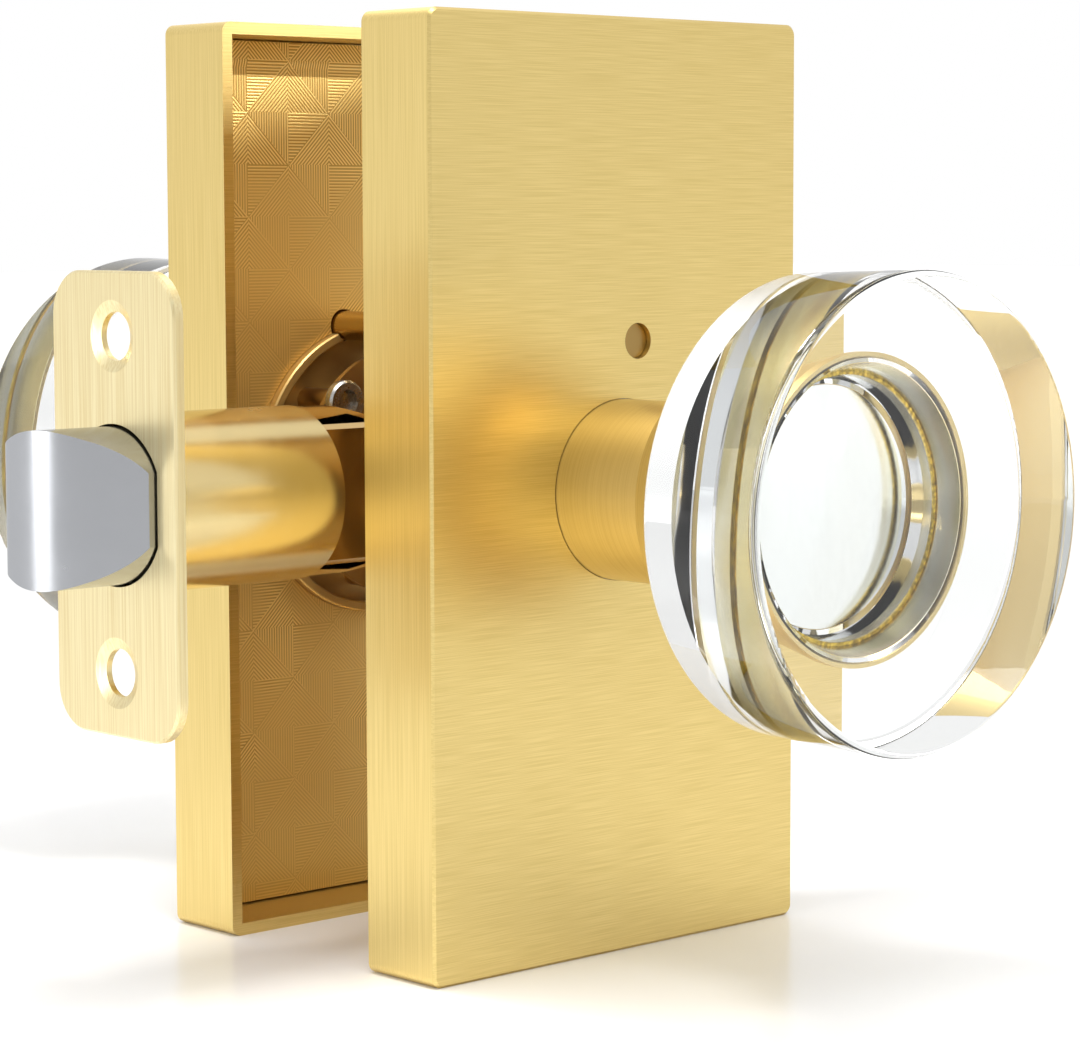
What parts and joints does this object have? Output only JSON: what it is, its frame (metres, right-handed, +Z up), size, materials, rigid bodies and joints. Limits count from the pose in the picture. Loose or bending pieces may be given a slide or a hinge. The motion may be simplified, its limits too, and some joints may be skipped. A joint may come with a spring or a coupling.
{
  "type": "privacy door knob set",
  "caption": "Privacy door knob set: clear glass disc knobs on satin brass shanks and rectangular rosettes, with a tubular spring latch and faceplate.",
  "frame": {"origin": "on the knob and spindle axis, half way between the two rosettes' open rims (the middle of the door's thickness)", "axes": "+Z up along the rosettes; +Y along the spindle towards the inside of the door, the outside knob is at -Y; -X towards the door's edge, the way the latch bolt points"},
  "size_m": [0.1046, 0.1552, 0.1204],
  "materials": {
    "rosette_brass": "satin, fine straight brushing",
    "patterned_lining": "glossy, engine-turned relief",
    "boss_bronze": "polished dark bronze",
    "black_steel": "blackened, oiled",
    "hub_brass": "turned",
    "shank_brass": "satin, brushed round",
    "clear_glass": "polished clear crystal",
    "silver_foil": "silvered",
    "gold_ring": "glittering gold wire",
    "works_steel": "bright plated",
    "spring_steel": "drawn wire",
    "bolt_chrome": "bright polished",
    "faceplate_brass": "satin, brushed lengthways",
    "tube_brass": "polished",
    "case_copper": "formed and bright"
  },
  "bodies": {
    "fixed_half": {"outside_rosette_cover": "rosette_brass", "outside_rosette_lining": "patterned_lining", "outside_mounting_plate": "boss_bronze", "outside_spring_cover": "black_steel", "outside_spring_cover_screws": "works_steel", "outside_thrust_washer": "works_steel", "outside_return_spring": "spring_steel", "release_guide": "hub_brass", "bolt_posts": "works_steel", "latch_faceplate": "faceplate_brass", "latch_tube": "tube_brass", "latch_case": "case_copper", "retractor_springs": "spring_steel"},
    "outside_knob": {"outside_knob_hub": "hub_brass", "outside_retaining_ring": "works_steel", "outside_knob_shank": "shank_brass", "outside_set_screw": "works_steel", "outside_glass_knob": "clear_glass", "outside_knob_foil": "silver_foil", "outside_knob_ring": "gold_ring", "spindle": "works_steel", "latch_hub": "works_steel"},
    "inside_half": {"inside_rosette_cover": "rosette_brass", "inside_rosette_lining": "patterned_lining", "inside_mounting_plate": "boss_bronze", "inside_spring_cover": "black_steel", "inside_spring_cover_screws": "works_steel", "inside_thrust_washer": "works_steel", "inside_return_spring": "spring_steel", "through_bolts": "works_steel"},
    "inside_knob": {"inside_knob_hub": "hub_brass", "inside_retaining_ring": "works_steel", "inside_knob_shank": "shank_brass", "inside_set_screw": "works_steel", "inside_glass_knob": "clear_glass", "inside_knob_foil": "silver_foil", "inside_knob_ring": "gold_ring"},
    "retractor": {"latch_retractor": "works_steel"},
    "spring_bolt": {"latch_bolt": "bolt_chrome", "bolt_tail": "works_steel", "bolt_spring": "spring_steel"},
    "privacy_rod": {"privacy_pin": "hub_brass"},
    "privacy_push": {"privacy_button": "shank_brass"}
  },
  "joints": [
    {"name": "knob_turn", "type": "hinge", "parent": "fixed_half", "child": "outside_knob", "pos_m": [0, 0, 0], "axis": [0, 1, 0], "range_deg": [0, 60], "stiffness_Nm_per_rad": 0.12, "springref_deg": -20.05, "deforming": ["outside_return_spring"]},
    {"name": "inside_knob_turn", "type": "hinge", "parent": "inside_half", "child": "inside_knob", "pos_m": [0, 0, 0], "axis": [0, 1, 0], "range_deg": [0, 60], "deforming": ["inside_return_spring"]},
    {"name": "door_fit", "type": "slide", "parent": "fixed_half", "child": "inside_half", "axis": [0, 1, 0], "range_m": [0, 0.0163]},
    {"name": "retract", "type": "slide", "parent": "fixed_half", "child": "retractor", "axis": [1, 0, 0], "range_m": [0, 0.01152], "deforming": ["retractor_springs"]},
    {"name": "bolt_push", "type": "slide", "parent": "retractor", "child": "spring_bolt", "axis": [1, 0, 0], "range_m": [0, 0.0115], "stiffness_N_per_m": 250, "springref_m": -0.008, "deforming": ["bolt_spring"]},
    {"name": "privacy_lock", "type": "slide", "parent": "fixed_half", "child": "privacy_rod", "axis": [0, 1, 0], "range_m": [0, 0.0035]},
    {"name": "privacy_button_push", "type": "slide", "parent": "inside_half", "child": "privacy_push", "axis": [0, 1, 0], "range_m": [0, 0.0035]}
  ],
  "couplings": [
    {"joint": "inside_knob_turn", "follows": "knob_turn", "ratio": 1},
    {"joint": "retract", "follows": "knob_turn", "m_per_rad": 0.010982},
    {"joint": "privacy_button_push", "follows": "privacy_lock", "ratio": 1}
  ]
}
